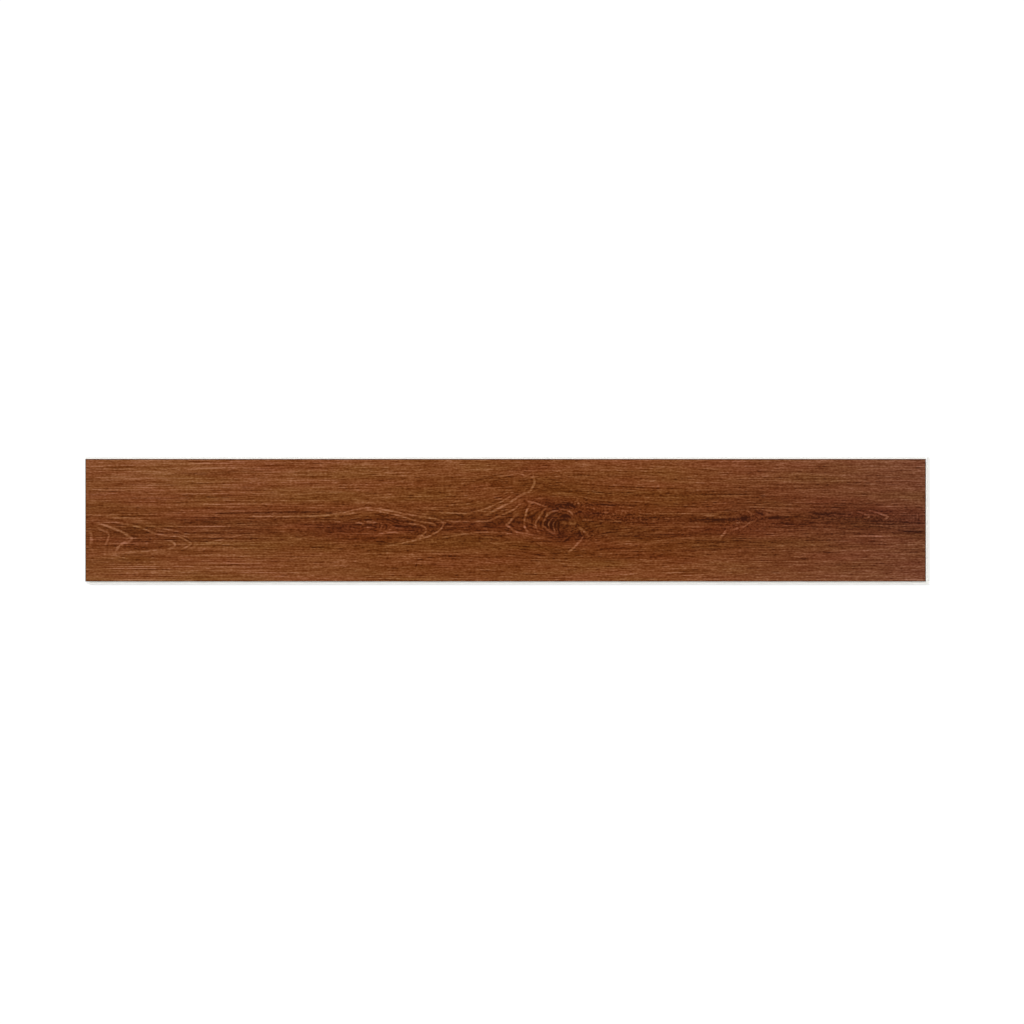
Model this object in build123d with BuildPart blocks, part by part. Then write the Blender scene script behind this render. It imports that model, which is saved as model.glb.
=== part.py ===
"""Rigid core vinyl plank, 7 x 48 in, with a click edge on all four sides.

The plank lies flat: +X along its length, +Y across its width, +Z up out of the decor face, and the
origin under the middle of its outline, on the floor. Its long edges are an angling joint, with a tongue
on the +Y side and a groove over a longer lower lip on the -Y side. Its short ends are a drop joint, with
a hook that points down at the -X end and one that points up at the +X end.

A board is milled right through along each pair of edges, so the solid is what two sections have in
common: one drawn across the width and run along the length, one drawn along the length and run across
the width. In each section one edge is drawn, and the other is what that edge of the next plank, grown by
the play of the joint, leaves of it.
"""

import os

from build123d import *

# The decor face, from edge to edge, and the board under it
FACE_LENGTH = 1219.2
FACE_WIDTH = 177.8
THICKNESS = 5.0

# Painted bevel round the decor face
BEVEL_WIDTH = 1.0
BEVEL_DEPTH = 0.4

# Joint of either kind: the faces of two planks meet above this height and clear each other below it
JOINT_HEIGHT = 3.4
JOINT_PLAY = 0.05
EDGE_ZONE = 9.0
FOOT_CHAMFER = 0.3

# Angling joint of the long edges
TONGUE_REACH = 2.3
TONGUE_SHOULDER = 0.7
TONGUE_SHOULDER_ROUND = 1.0
TONGUE_TIP_TOP = 2.95
TONGUE_TIP_FOOT = 2.3
TONGUE_TIP_ROUND = 0.3
TONGUE_BELLY_ROUND = 2.2
HEEL_HEIGHT = 1.3
HEEL_LENGTH = 2.3
HEEL_SLOPE = 0.35
HEEL_ROUND = 0.2
BEAD_POCKET_TOP = 2.05
BEAD_POCKET_END = 4.7
BEAD_POCKET_INNER_ROUND = 0.15
BEAD_POCKET_OUTER_ROUND = 0.4
LONG_LIP_REACH = 4.5
LONG_LIP_HEIGHT = 1.95
LONG_LIP_ROUND = 0.5

# Drop joint of the short ends
HOOK_FOOT = 1.3
HOOK_WIDTH = 2.35
HOOK_SLOPE = 0.3
HOOK_ROUND = 0.3
HOOK_POCKET_TOP = 2.85
HOOK_POCKET_END = 5.3
SNAP_DEPTH = 0.2
SNAP_TOP = 2.4
SNAP_FOOT = 1.5
SNAP_RAMP = 0.3
SNAP_ROUND = 0.1
SHORT_LIP_REACH = 5.45
SHORT_LIP_HEIGHT = 2.75
SHORT_LIP_ROUND = 0.25

# Planes of the two sections: each has the drawn edge on its +x side and the board's top up
ACROSS_WIDTH = Plane.YZ
ALONG_LENGTH = Plane(origin=(0, 0, 0), x_dir=(-1, 0, 0), z_dir=(0, 1, 0))


def corner_outline(corners):
    """Closed sketch through (x, z, round) corners, with x = 0 at an edge of the decor face."""
    with BuildSketch() as outline:
        with BuildLine():
            FilletPolyline(
                *[(x, z) for x, z, _ in corners],
                radius=[round_ for _, _, round_ in corners],
                close=True,
            )
        make_face()
    return outline.sketch


def tongue_edge():
    """Tongue, heel and bead pocket of the +Y edge, below the joint height."""
    heel_back = HEEL_LENGTH + HEEL_SLOPE
    return corner_outline([
        (-EDGE_ZONE, JOINT_HEIGHT, 0),
        (TONGUE_SHOULDER, JOINT_HEIGHT, TONGUE_SHOULDER_ROUND),
        (TONGUE_REACH, TONGUE_TIP_TOP, TONGUE_TIP_ROUND),
        (TONGUE_REACH, TONGUE_TIP_FOOT, TONGUE_TIP_ROUND),
        (TONGUE_SHOULDER, HEEL_HEIGHT, TONGUE_BELLY_ROUND),
        (-HEEL_LENGTH, HEEL_HEIGHT, HEEL_ROUND),
        (-heel_back, BEAD_POCKET_TOP, BEAD_POCKET_INNER_ROUND),
        (-BEAD_POCKET_END, BEAD_POCKET_TOP, BEAD_POCKET_OUTER_ROUND),
        (-BEAD_POCKET_END, FOOT_CHAMFER, 0),
        (-BEAD_POCKET_END - FOOT_CHAMFER, 0, 0),
        (-EDGE_ZONE, 0, 0),
    ])


def down_hook_edge():
    """Down hook, hook pocket and snap notch of the -X end, below the joint height."""
    hook_back = HOOK_WIDTH + HOOK_SLOPE
    notch = HOOK_POCKET_END + SNAP_DEPTH
    return corner_outline([
        (-EDGE_ZONE, JOINT_HEIGHT, 0),
        (0, JOINT_HEIGHT, 0),
        (0, HOOK_FOOT, HOOK_ROUND),
        (-HOOK_WIDTH, HOOK_FOOT, HOOK_ROUND),
        (-hook_back, HOOK_POCKET_TOP, HOOK_ROUND),
        (-HOOK_POCKET_END, HOOK_POCKET_TOP, HOOK_ROUND),
        (-HOOK_POCKET_END, SNAP_TOP, 0),
        (-notch, SNAP_TOP - SNAP_RAMP, SNAP_ROUND),
        (-notch, SNAP_FOOT + SNAP_RAMP, SNAP_ROUND),
        (-HOOK_POCKET_END, SNAP_FOOT, 0),
        (-notch - FOOT_CHAMFER, 0, 0),
        (-EDGE_ZONE, 0, 0),
    ])


def lower_lip(reach, height, rounding):
    """Lip that runs out towards -x under the next plank, before its upper side is cut to fit that plank."""
    return corner_outline([
        (EDGE_ZONE, 0, 0),
        (EDGE_ZONE, height, 0),
        (-reach, height, rounding),
        (-reach, FOOT_CHAMFER, 0),
        (-reach + FOOT_CHAMFER, 0, 0),
    ])


def milled_section(plane, face_size, edge, lip):
    """Section of the board with the drawn edge on its +x side and the fitted one on its -x side."""
    drawn_side = face_size / 2
    fitted_side = -face_size / 2
    edge_of_next_plank = offset(edge, amount=JOINT_PLAY, kind=Kind.INTERSECTION)
    with BuildSketch(plane) as section:
        with Locations((0, THICKNESS / 2)):
            Rectangle(face_size, THICKNESS)
        top_edge = section.edges().sort_by(Axis.Y)[-1]
        chamfer(
            section.vertices().group_by(Axis.Y)[-1],
            length=BEVEL_WIDTH, length2=BEVEL_DEPTH, reference=top_edge,
        )
        with Locations((drawn_side - EDGE_ZONE / 2, JOINT_HEIGHT / 2)):
            Rectangle(EDGE_ZONE, JOINT_HEIGHT, mode=Mode.SUBTRACT)
        with Locations((drawn_side, 0)):
            add(edge)
        with Locations((fitted_side, 0)):
            add(lip)
            add(edge_of_next_plank, mode=Mode.SUBTRACT)
    return section.sketch


long_lip = lower_lip(LONG_LIP_REACH, LONG_LIP_HEIGHT, LONG_LIP_ROUND)
short_lip = lower_lip(SHORT_LIP_REACH, SHORT_LIP_HEIGHT, SHORT_LIP_ROUND)
width_section = milled_section(ACROSS_WIDTH, FACE_WIDTH, tongue_edge(), long_lip)
length_section = milled_section(ALONG_LENGTH, FACE_LENGTH, down_hook_edge(), short_lip)

with BuildPart() as plank:
    # Both runs are longer than the board, and each section trims the other's ends
    extrude(width_section, amount=FACE_LENGTH, both=True)
    extrude(length_section, amount=FACE_WIDTH, both=True, mode=Mode.INTERSECT)
    # The locking bead of the long edge stops short of the down hook, which has nothing under it
    with Locations((-FACE_LENGTH / 2, -FACE_WIDTH / 2, 0)):
        Box(
            HOOK_POCKET_END, LONG_LIP_REACH, JOINT_HEIGHT,
            align=(Align.MIN, Align.MAX, Align.MIN), mode=Mode.SUBTRACT,
        )

os.makedirs("parts", exist_ok=True)
plank.part.label = "plank"
export_step(plank.part, "parts/plank.step")
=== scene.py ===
"""Looks of a rigid core vinyl plank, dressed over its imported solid.

The plank lies on the floor with its decor face up and +X along its length. Objects are in metres, and the
patterns of their finishes are in millimetres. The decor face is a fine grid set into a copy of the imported
solid's milled edges. Geometry Nodes press it in register with the oak grain that its finish prints.
"""

import logging
import math
from collections.abc import Iterable
from dataclasses import dataclass, field
from enum import Enum
from itertools import starmap

import bmesh
import bpy
import numpy as np
from bpy.types import Material, Mesh, Node, NodeSocket, NodeTree, Object
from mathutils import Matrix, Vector

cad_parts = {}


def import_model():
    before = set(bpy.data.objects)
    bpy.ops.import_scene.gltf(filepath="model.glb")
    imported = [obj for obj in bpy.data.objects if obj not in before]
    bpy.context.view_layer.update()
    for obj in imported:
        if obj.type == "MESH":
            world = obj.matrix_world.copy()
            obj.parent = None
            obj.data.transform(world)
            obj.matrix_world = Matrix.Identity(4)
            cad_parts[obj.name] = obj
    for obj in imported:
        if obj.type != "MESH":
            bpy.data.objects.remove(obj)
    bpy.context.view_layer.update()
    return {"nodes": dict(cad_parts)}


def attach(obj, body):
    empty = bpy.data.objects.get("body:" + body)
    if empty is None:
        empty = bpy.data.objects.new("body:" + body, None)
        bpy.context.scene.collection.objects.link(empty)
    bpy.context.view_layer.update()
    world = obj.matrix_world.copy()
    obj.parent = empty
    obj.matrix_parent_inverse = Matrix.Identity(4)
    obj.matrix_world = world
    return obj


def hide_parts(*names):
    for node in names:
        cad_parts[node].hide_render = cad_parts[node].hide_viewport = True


LOG = logging.getLogger("plank")
NODE = "plank"
MM = 0.001
NOISE_MIDDLE = 0.5
TINY = 1e-9

Value = Node | NodeSocket | float
Term = tuple[Value, float, float]
Pairs = tuple[tuple[float, float], ...]
Stops = tuple[tuple[float, str], ...]


class FacePart(Enum):
    """Surfaces of the plank that get a finish of their own, in the order of their material slots."""

    BEVEL = 0
    EDGE = 1
    BACK = 2
    DECOR = 3


class Field(Enum):
    """Values that the decor face's points carry for its pressing and its print."""

    RING = "grain_ring"
    LIFT = "fibre_lift"
    VEIN = "vein_distance"
    VEIN_STRENGTH = "vein_strength"
    # Tone of the figure's patches, plus painted light and shade along the plank
    SHADE = "figure_shade"
    BURR = "burr_depth"
    STRAIGHT = "straight_grain"
    # Grey of the stains, plus a painted sheen along the plank
    GREY = "grey_stain"
    RIM = "rim_distance"


def linear(colour: str) -> tuple[float, float, float, float]:
    """Turn an sRGB hex colour into a linear one.

    Args:
        colour: Six hex digits after a hash.

    Returns:
        Linear red, green and blue, with an alpha of 1.
    """
    parts = [int(colour[i:i + 2], 16) / 255 for i in (1, 3, 5)]
    red, green, blue = [c / 12.92 if c <= 0.04045 else ((c + 0.055) / 1.055) ** 2.4 for c in parts]
    return red, green, blue, 1.0


def first(sockets: Iterable[NodeSocket], name: str | None = None) -> NodeSocket:
    """Find the first socket in use, of that name if one is given."""
    return next(s for s in sockets if s.enabled and name in (None, s.name))


def add_node(tree: NodeTree, kind: str, inputs: dict | None = None, **settings: object) -> Node:
    """Add a node with its settings, and give its inputs values or links.

    Args:
        tree: Shader or geometry node tree.
        kind: Type name of the node.
        inputs: Value, socket or node for each input, by name or by place among all inputs.
        settings: Properties of the node.

    Returns:
        The new node.
    """
    node = tree.nodes.new(kind)
    for name, value in settings.items():
        setattr(node, name, value)
    for key, value in (inputs or {}).items():
        target = node.inputs[key] if isinstance(key, int) else first(node.inputs, key)
        if isinstance(value, Node):
            value = first(value.outputs)
        if isinstance(value, NodeSocket):
            tree.links.new(value, target)
        else:
            target.default_value = value
    return node


def weighted_sum(tree: NodeTree, terms: list[Term], start: float = 0.0) -> Node:
    """Add up patterns about their middle, each with a weight.

    Args:
        tree: Node tree.
        terms: Pattern, its weight and its middle value.
        start: Value that the sum starts from.

    Returns:
        Node whose output is start plus weight times (pattern - middle) of each term.
    """
    total: Value = start - sum(weight * middle for _, weight, middle in terms)
    for pattern, weight, _ in terms:
        total = add_node(
            tree, "ShaderNodeMath", {0: pattern, 1: weight, 2: total}, operation="MULTIPLY_ADD",
        )
    return total


def millimetres(tree: NodeTree, place: Value) -> tuple[NodeSocket, ...]:
    """Split a place in metres into x, y and z in millimetres."""
    scaled = add_node(tree, "ShaderNodeVectorMath", {0: place, "Scale": 1 / MM}, operation="SCALE")
    return tuple(add_node(tree, "ShaderNodeSeparateXYZ", {0: scaled}).outputs)


@dataclass(frozen=True)
class GrainLine:
    """Line of the figure, such as a growth ring that comes up to the face, or a stroke in a knot.

    ring counts the growth rings outward from the heart of the log, and is None for a stroke that crosses
    them. strength is 1 for a pale line and -1 for a dark one, and above 1 where rough grain would hide the
    line. The half width and the points are in millimetres, from the middle of the decor face.
    """

    ring: float | None
    strength: float
    half_width: float
    points: Pairs

    def course(self, step: float = 1.0) -> np.ndarray:
        """Run a smooth curve through the points.

        Args:
            step: Distance between samples in millimetres.

        Returns:
            Samples along the curve, one row of x and y each.
        """
        given = np.array(self.points, float)
        knots = np.vstack([2 * given[0] - given[1], given, 2 * given[-1] - given[-2]])
        pieces = []
        for a, b, c, d in zip(knots, knots[1:], knots[2:], knots[3:]):
            count = max(2, math.ceil(np.hypot(*(c - b)) / step))
            t = (np.arange(count) / count)[:, None]
            bend, swing = 2 * a - 5 * b + 4 * c - d, 3 * b - a - 3 * c + d
            pieces.append(0.5 * (2 * b + (c - a) * t + bend * t**2 + swing * t**3))
        return np.vstack([*pieces, given[-1:]])


def growth_rings(*rows: tuple) -> tuple[GrainLine, ...]:
    """Draw lines from rows of ring, strength, half width and points."""
    return tuple(GrainLine(ring, strength, width, tuple(points)) for ring, strength, width, *points in rows)


def strokes(*rows: tuple) -> tuple[GrainLine, ...]:
    """Draw lines of no ring from rows of strength, half width and points."""
    return growth_rings(*((None, *row) for row in rows))


@dataclass(frozen=True)
class Patch:
    """Soft dark or pale patch of the print, in millimetres; a negative tone is darker."""

    x: float
    y: float
    half_length: float
    half_height: float
    tone: float

    def spread(self, x: np.ndarray, y: np.ndarray) -> np.ndarray:
        """Tone at each point of the face."""
        far = ((x - self.x) / self.half_length) ** 2 + ((y - self.y) / self.half_height) ** 2
        return self.tone * np.exp(-far)


@dataclass(frozen=True)
class Swerve:
    """Knot that the fibres run round, in millimetres."""

    x: float
    y: float
    radius: float
    stretch: float

    def lift(self, x: np.ndarray, y: np.ndarray) -> np.ndarray:
        """Shift of the fibres at each point, which part as a stream does round a stone."""
        square = ((x - self.x) / self.stretch) ** 2 + (y - self.y) ** 2
        return (self.y - y) * self.radius**2 / (square + self.radius**2 / 2)


# Lines are placed in millimetres from the middle of the face. Each line's place in this order sets the
# side on which its distance is positive.
CATHEDRAL = growth_rings(
    (1.0, 0.95, 1.6, (-592, -11.5), (-585, -14.6), (-576, -19.8), (-576, -25), (-579, -32.8),
     (-584, -40.4)),
    (2.0, 1, 1.8, (-595, -4.3), (-582, -6.9), (-569, -12), (-557, -16.5), (-549, -21.7), (-542, -26.3),
     (-545, -30.2), (-556, -34.1), (-562, -39.3), (-567, -46.9)),
    (3.0, 0.85, 1.5, (-490, -28.9), (-483, -31.5), (-479, -36), (-483, -39.3), (-490, -42.4)),
    (3.6, 0.95, 1.4, (-571, -2.5), (-549, -6.3), (-536, -8.9), (-523, -13.3), (-510, -18.5), (-497, -21.7),
     (-481, -23), (-471, -25), (-462, -30.2), (-456, -34.1), (-462, -38), (-472, -43)),
    (4.3, 0.5, 2, (-605, 5.4), (-580, 6.1), (-554, 3.5), (-530, -0.4), (-509, -5.4)),
    (4.3, 0.85, 1.3, (-516, -8.3), (-494, -12.6), (-474, -17.2), (-457, -21.1), (-436, -22.4)),
    (4.6, 0.7, 1.2, (-436, -32.8), (-414, -28.5), (-393, -23.6), (-381, -21.3)),
    (4.6, 0.5, 1.1, (-549, -46.9), (-530, -45.8), (-513, -44.3), (-498, -42.4)),
    (5.6, 0.5, 1, (-607, -50.1), (-571, -50.7), (-546, -55.4), (-498, -55.4)),
) + strokes(
    (0.8, 2.4, (-603, -14), (-601, -24), (-601, -37)),
    (0.55, 1.1, (-462, -8.5), (-420, -8.5), (-385, -7), (-355, -4.5)),
)
EYE = growth_rings(
    (4.9, 0.95, 1.4, (-372, 5.6), (-340, 5.8), (-298, 6.1), (-269, 6.4), (-233, 11.2), (-211, 16.5),
     (-191, 17.8), (-164, 12.9), (-136, 7.5), (-106, 2.8), (-94, -1.1), (-90, -4.7), (-93, -11.6),
     (-98, -16.5), (-110, -22.7), (-124, -27), (-148, -33.2), (-181, -39.3)),
    (4.2, 0.8, 1.2, (-245, 7.7), (-229, 9), (-212, 12.6), (-195, 14.5), (-180, 12.2), (-153, 6.4),
     (-130, -0.8), (-107, -4.4), (-99, -9)),
    (3.2, 0.9, 1.4, (-146, -4.3), (-136, -5.1), (-124, -6.9), (-117, -10.5), (-115, -15.2), (-119, -20.1),
     (-130, -26)), (2.6, 0.6, 0.9, (-236, 0), (-220, 2.5), (-204.5, 6)),
    (3.0, 0.55, 0.9, (-175.5, 5), (-162, -0.5)),
) + strokes(
    (1, 1.4, (-217, -4), (-206, -4.5)), (1.5, 1.6, (-202, -3), (-187, -3.5)),
    (0.6, 1.3, (-208, -4.5), (-206, -8)), (1.2, 1.5, (-203, -10), (-192, -11)),
    (0.85, 1.3, (-182, -3), (-179, -7), (-182, -13)), (0.9, 1.3, (-248, -1.5), (-236, -3.5)),
    (0.65, 1.1, (-233, -5), (-232, -10.5), (-214, -13)), (0.5, 1, (-257.5, -19), (-187.5, -20)),
    (0.95, 1.4, (-187.5, -20.5), (-168, -18), (-151.5, -18)),
    (0.85, 1.5, (-169, -6), (-159.5, -11), (-143, -13.5)), (0.7, 1.2, (-159.5, -11), (-175.5, -16.5)),
    (0.5, 1, (-179, -39.5), (-144, -33.5)), (-0.7, 1, (-201.5, -7.4), (-193, -7.4)),
    (-0.7, 1.1, (-203.5, 0.4), (-193, 1.2)), (-0.7, 1.1, (-175.5, -4.5), (-172, -9.5), (-175.5, -14.5)),
    (-0.6, 1.2, (-195, -13.5), (-185, -16)), (-0.6, 1.1, (-189, -30.5), (-172, -32)),
    (-0.55, 1.3, (-158.5, -1), (-129.5, -3.5)), (-0.5, 1.2, (-111.5, -7), (-104, -13), (-112.5, -19.5)),
    (-0.5, 1.1, (-195, 10.5), (-170.5, 4.5)), (-0.5, 1, (-232.5, 6), (-211.5, 9)),
)
BULGE = growth_rings(
    (4.9, 0.95, 1.4, (-88, -1.4), (-69, -2), (-49, -2), (-28, -1.4), (-18, 1.8), (-7, 7.5), (-1, 9.7),
     (11, 15.5), (23, 24.4)),
    (5.3, 0.95, 1.8, (-26, 9.7), (-13, 15.5), (-1, 22), (9, 27.7), (18, 33.9), (27, 38.5), (35, 42.1),
     (39, 47.5), (42, 55.1), (40, 62.3)),
    (5.8, 0.8, 1.2, (-117, 11.9), (-89, 11), (-59, 10), (-39, 14), (-18, 21.2), (-1, 29.9), (12, 37.8)),
    (6.4, 0.5, 1, (-91, 22), (-60, 23), (-28, 29.9), (-8, 35.8), (9, 44)),
    (5.0, 0.75, 1.2, (-97, -26), (-79, -23), (-52, -19.1), (-28, -16.9), (-8, -17.2), (14, -20), (50, -23)),
    (5.4, 0.45, 1.1, (-92, -30.6), (-81, -32.1), (-63, -28.5)),
    (7.2, 0.75, 1.2, (-14, 64), (-1, 65.2), (20, 67.5), (30, 64.5), (40, 68.8)),
    (8.6, 0.6, 1, (21, 72.4), (47, 72.1), (86, 71.7)),
) + strokes(
    (0.6, 1, (40, 70.2), (40, 62.3)),
)
MAIN_KNOT = growth_rings(
    (4.0, 1, 1.7, (16, 8), (11.5, 4), (4, -4.5), (1, -6.5), (5, -9.5), (16.5, -17), (37.5, -19)),
    (3.3, 0.95, 1.6, (37, 25.5), (30.5, 12.5), (27, -3.5), (30, -14), (37.5, -20.5)),
    (2.6, 1, 1.5, (58.5, 18.5), (50, 6), (43.5, -3.5), (43.5, -9), (48.5, -18)),
    (2.0, 1, 1.5, (99.5, 5.5), (93, 12.5), (86, 15), (78, 15), (66, 11.5), (59.5, 6), (54.5, -4.5),
     (55.5, -10), (65, -16.5), (75.5, -23.5)), (1.5, 1, 1.1, (69, 4), (62.5, -4.5), (63.5, -11.5)),
    (1.1, 0.95, 0.9, (73, 1), (69, -7), (72.5, -18.5)), (0.8, 0.6, 0.7, (74.5, -3.5), (75, -14)),
    (1.3, 0.85, 0.9, (70.5, 7.5), (79.5, 11.5)),
    (3.3, 1, 1.3, (30, 29.5), (33.5, 27), (43, 25), (55.5, 20.5), (65.5, 16)),
) + strokes(
    (0.8, 2.2, (78, -3.5), (102.5, -4.5)), (0.95, 2.2, (106, -10), (117.5, -19)),
    (0.95, 1.6, (114, -22), (105.5, -33), (91, -47.5)), (0.5, 1.2, (102.5, 7), (104, -0.5)),
    (0.5, 1, (119, 14), (134, 10.5)), (0.5, 0.9, (78, 43), (115.5, 45), (130.5, 42)),
    (0.4, 0.9, (75.5, 39.5), (114.5, 37.5), (123, 41), (136, 38)), (0.5, 1, (43, -22.5), (57.5, -25)),
    (0.35, 0.9, (-8, -22.5), (32.5, -25.5)), (0.5, 1.3, (104, 30.5), (106, 19.5)),
    (-0.9, 1.6, (100, 9.5), (112, 13)), (-0.75, 1.8, (87, 22), (92.5, 24), (101, 18)),
    (-0.6, 1.2, (61.5, 19.5), (70, 19)), (-0.8, 1.4, (74, 18), (77.5, 14.5)),
    (-0.9, 1.6, (78, 3), (87, 8), (95.5, 2.5)), (-0.8, 1.3, (67, -3.5), (65.5, -8), (68, -14.5)),
    (-0.7, 1.1, (61.5, -0.5), (59.5, -5.5), (60.5, -10.5)),
    (-0.8, 1.2, (76.5, -4.5), (76, -12), (79.5, -21)), (-0.6, 1.3, (52.5, -0.5), (50.5, -5.5), (51.5, -11)),
    (-0.45, 1.3, (41, 3), (37.5, -3.5), (39.5, -11)), (-0.7, 1.5, (83, -32.5), (91.5, -26.5), (98, -22.5)),
    (-0.7, 1.6, (104, -14), (110, -22.5)), (-0.6, 1.1, (106, -1.5), (136.5, -2)),
    (-0.5, 1, (-0.5, -13.5), (14.5, -20.5)), (0.6, 1.4, (138, 10), (152, 13)),
    (0.6, 1.4, (174.5, 17), (183.5, 17.5)), (0.5, 0.9, (122.5, -0.5), (167, -1.5)),
    (0.5, 0.8, (193.5, 10), (218, 9), (237, 10), (310, 9)), (1.4, 1.6, (288, 6.5), (309, 6)),
    (0.4, 0.9, (190, 44.5), (267.5, 44)), (-0.7, 1.2, (181, 11), (187.5, 11)),
    (-0.6, 1, (122.5, 11), (137, 8.5)), (-0.6, 1.2, (171, 25.5), (197.5, 25.5)),
    (-0.35, 1.2, (200, 4), (238.5, 5)), (-0.3, 1.1, (197.5, -4), (244.5, -2)),
    (-0.45, 1.1, (259, 1), (273.5, 0.5), (310, 1)), (-0.45, 1, (158.5, -22.5), (212, -24)),
)
TAIL = growth_rings(
    (1.5, 0.75, 1.2, (507, 14), (518, 10.1), (528, 5.7), (518, 1.8)),
    (2.2, 0.9, 1.4, (523, 14.8), (534, 12.3), (547, 8.6), (555, 4.7), (547, 0.3)),
) + strokes(
    (0.7, 0.8, (597, 9.7), (597, 2.5)), (0.6, 1, (489, 15.3), (495, 15)),
    (0.45, 1.4, (529, -24.1), (565, -22.4), (601, -23.4)),
    (0.4, 1, (508, -4.3), (550, -9), (579, -13.8), (608, -14.1)),
    (-0.45, 0.9, (360, -23), (386, -20.7), (414, -19.2), (455, -19.2)),
    (-0.6, 1.4, (517, -1.4), (558, -1.4), (608, -4.7)),
    (-0.85, 1.6, (569, -14.5), (584, -16.4), (608, -17.5)),
    (-0.5, 1.2, (444, 9), (468, 10.1), (492, 8.7), (511, 6.8)),
    (0.75, 1.3, (349, 12.5), (356, 10.5), (355, 4)), (0.5, 1.5, (364, -1), (354, -4), (346, -8)),
    (0.8, 2, (351, -6.5), (342.5, -10), (324.5, -15)), (1, 1.7, (320.5, -15), (311, -26)),
    (0.6, 1.2, (326.5, -5.5), (343.5, -3.5)), (0.55, 1.4, (289, 6.5), (310, 4.5), (328, 4.5)),
    (0.6, 1.4, (377.5, 14.5), (386, 13)), (0.5, 0.8, (347, 27.5), (378.5, 24.5), (415, 23.5)),
    (0.4, 0.7, (299, 24), (342.5, 25)), (0.6, 0.8, (421, 40), (437.5, 40)),
    (0.45, 0.8, (369, 37), (394.5, 37)), (0.5, 0.8, (382.5, -19.5), (432, -20.5)),
    (-0.75, 1.4, (341, 3.5), (355, 4.5)), (-0.7, 1.4, (340, 0), (349.5, 1)),
    (-0.8, 1.4, (365.5, 11), (375, 7)), (-0.6, 1.2, (360.5, 14), (366.5, 13)),
    (-0.8, 1.6, (382.5, 2.5), (391, 4), (400, 2.5)), (-0.6, 1.1, (398, -4), (409, -6), (446.5, -6)),
    (-0.45, 0.9, (302.5, 2), (330.5, -0.5)), (-0.5, 1, (447.5, 8), (470, 8)),
)
LONG_STREAKS = strokes(
    (-0.75, 1.2, (-422, 10.1), (-378, 11), (-335, 10.7), (-298, 11.6), (-248, 10.1)),
    (-0.4, 1.1, (-478, -0.2), (-443, -0.5), (-411, 1.2)),
    (-0.5, 1.1, (-240, -27.3), (-223, -27.6), (-208, -27)),
    (-0.6, 1.2, (-133, -60.5), (-127, -57.6), (-118, -55.6), (-104, -52.7), (-69, -51.5)),
    (-0.45, 1.1, (-130, -53.7), (-129, -61.6), (-131, -70.3)),
    (-0.4, 1.1, (-603, -36.4), (-559, -37.4), (-516, -36.5)),
    (-0.5, 1, (-610, 43.3), (-574, 41.6), (-538, 42.7)), (-0.3, 1.1, (166, 0.5), (209, 1)),
    (-0.4, 1.2, (298, 0.8), (332, 0)), (0.45, 1, (226, 2.5), (262, 3.5)),
    (-0.35, 1.1, (122, 22.2), (173, 21.7), (224, 22.8)), (-0.45, 1, (-436, 7), (-417, 6.8), (-385, 5.8)),
)
PATCHES = tuple(starmap(Patch, (
    # Heart of the main knot, the burr over it and the split under it
    (88, 3.9, 9, 5, -0.5), (67, -1.1, 9, 14.4, -0.4), (73, 14.8, 7, 4.3, -0.35),
    (89, 21.2, 17, 6.5, -0.42), (57, 24.8, 13, 7.2, -0.25), (79, -22.7, 17, 7.2, -0.3),
    (108, -24.1, 7, 5.8, -0.35), (93, -10.5, 12, 4.3, -0.12), (105, 26.3, 9, 7.2, 0.25),
    (15, -5.4, 10, 8.6, -0.08),
    # Streaks behind the main knot
    (122, 9, 23, 3.6, -0.3), (137, 22.5, 32, 2.9, -0.3), (209, 1.1, 65, 4.3, -0.14),
    (306, 1, 34, 3.8, -0.2), (270, 1.4, 9, 3.2, 0.2), (195, -21.3, 73, 2.9, -0.2),
    # Pin knots and stain of the tail
    (345, 2.6, 11, 4, -0.38), (369, 10.1, 6.5, 4.3, -0.5), (393, 2.8, 11, 4.3, -0.35),
    (340, 1.1, 20, 3.2, -0.16), (466, 7.5, 23, 6.5, -0.28), (500, 4.7, 36, 8.6, -0.15),
    (565, -5.4, 46, 8.6, -0.25), (592, 4.7, 15, 8.6, -0.22), (589, -16.2, 20, 3.2, -0.3),
    (545, 11.9, 29, 4.3, -0.15),
    # Pin knot and heart of the eye
    (-194, -6.1, 12, 6, -0.25), (-227, -8.3, 20, 7.2, -0.15),
    (-255, -11.2, 38, 10.1, -0.22), (-150, -8.3, 15, 5.8, -0.2),
    (-131, -15.5, 13, 5.8, -0.16), (-175, 4.7, 15, 2.9, -0.15), (-160, 0.3, 15, 2.6, -0.2),
    (-211, 9.7, 32, 2.9, 0.15), (-319, -12.6, 26, 3.6, 0.25),
    # Dark heart of the cathedral and its streaks
    (-516, -28.5, 65, 17.3, -0.2), (-559, -16.9, 29, 14.4, -0.08),
    (-393, -11.2, 87, 14.4, -0.27), (-313, 10.4, 73, 3.2, -0.3), (-436, 1.8, 44, 2.9, -0.24),
    (-407, -29.9, 58, 4.3, -0.12),
    # Broad bands
    (79, -5.4, 551, 23.1, -0.16), (-52, -5.4, 87, 13, -0.15), (-255, -65.9, 35, 10.1, 0.12),
    (-472, 72.4, 131, 11.5, 0.1), (-1, 75.3, 44, 10.1, -0.05), (-197, 58, 87, 11.5, 0.06),
    (282, -71.7, 174, 11.5, 0.05), (543, 79.6, 87, 11.5, 0.05),
)))
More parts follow.
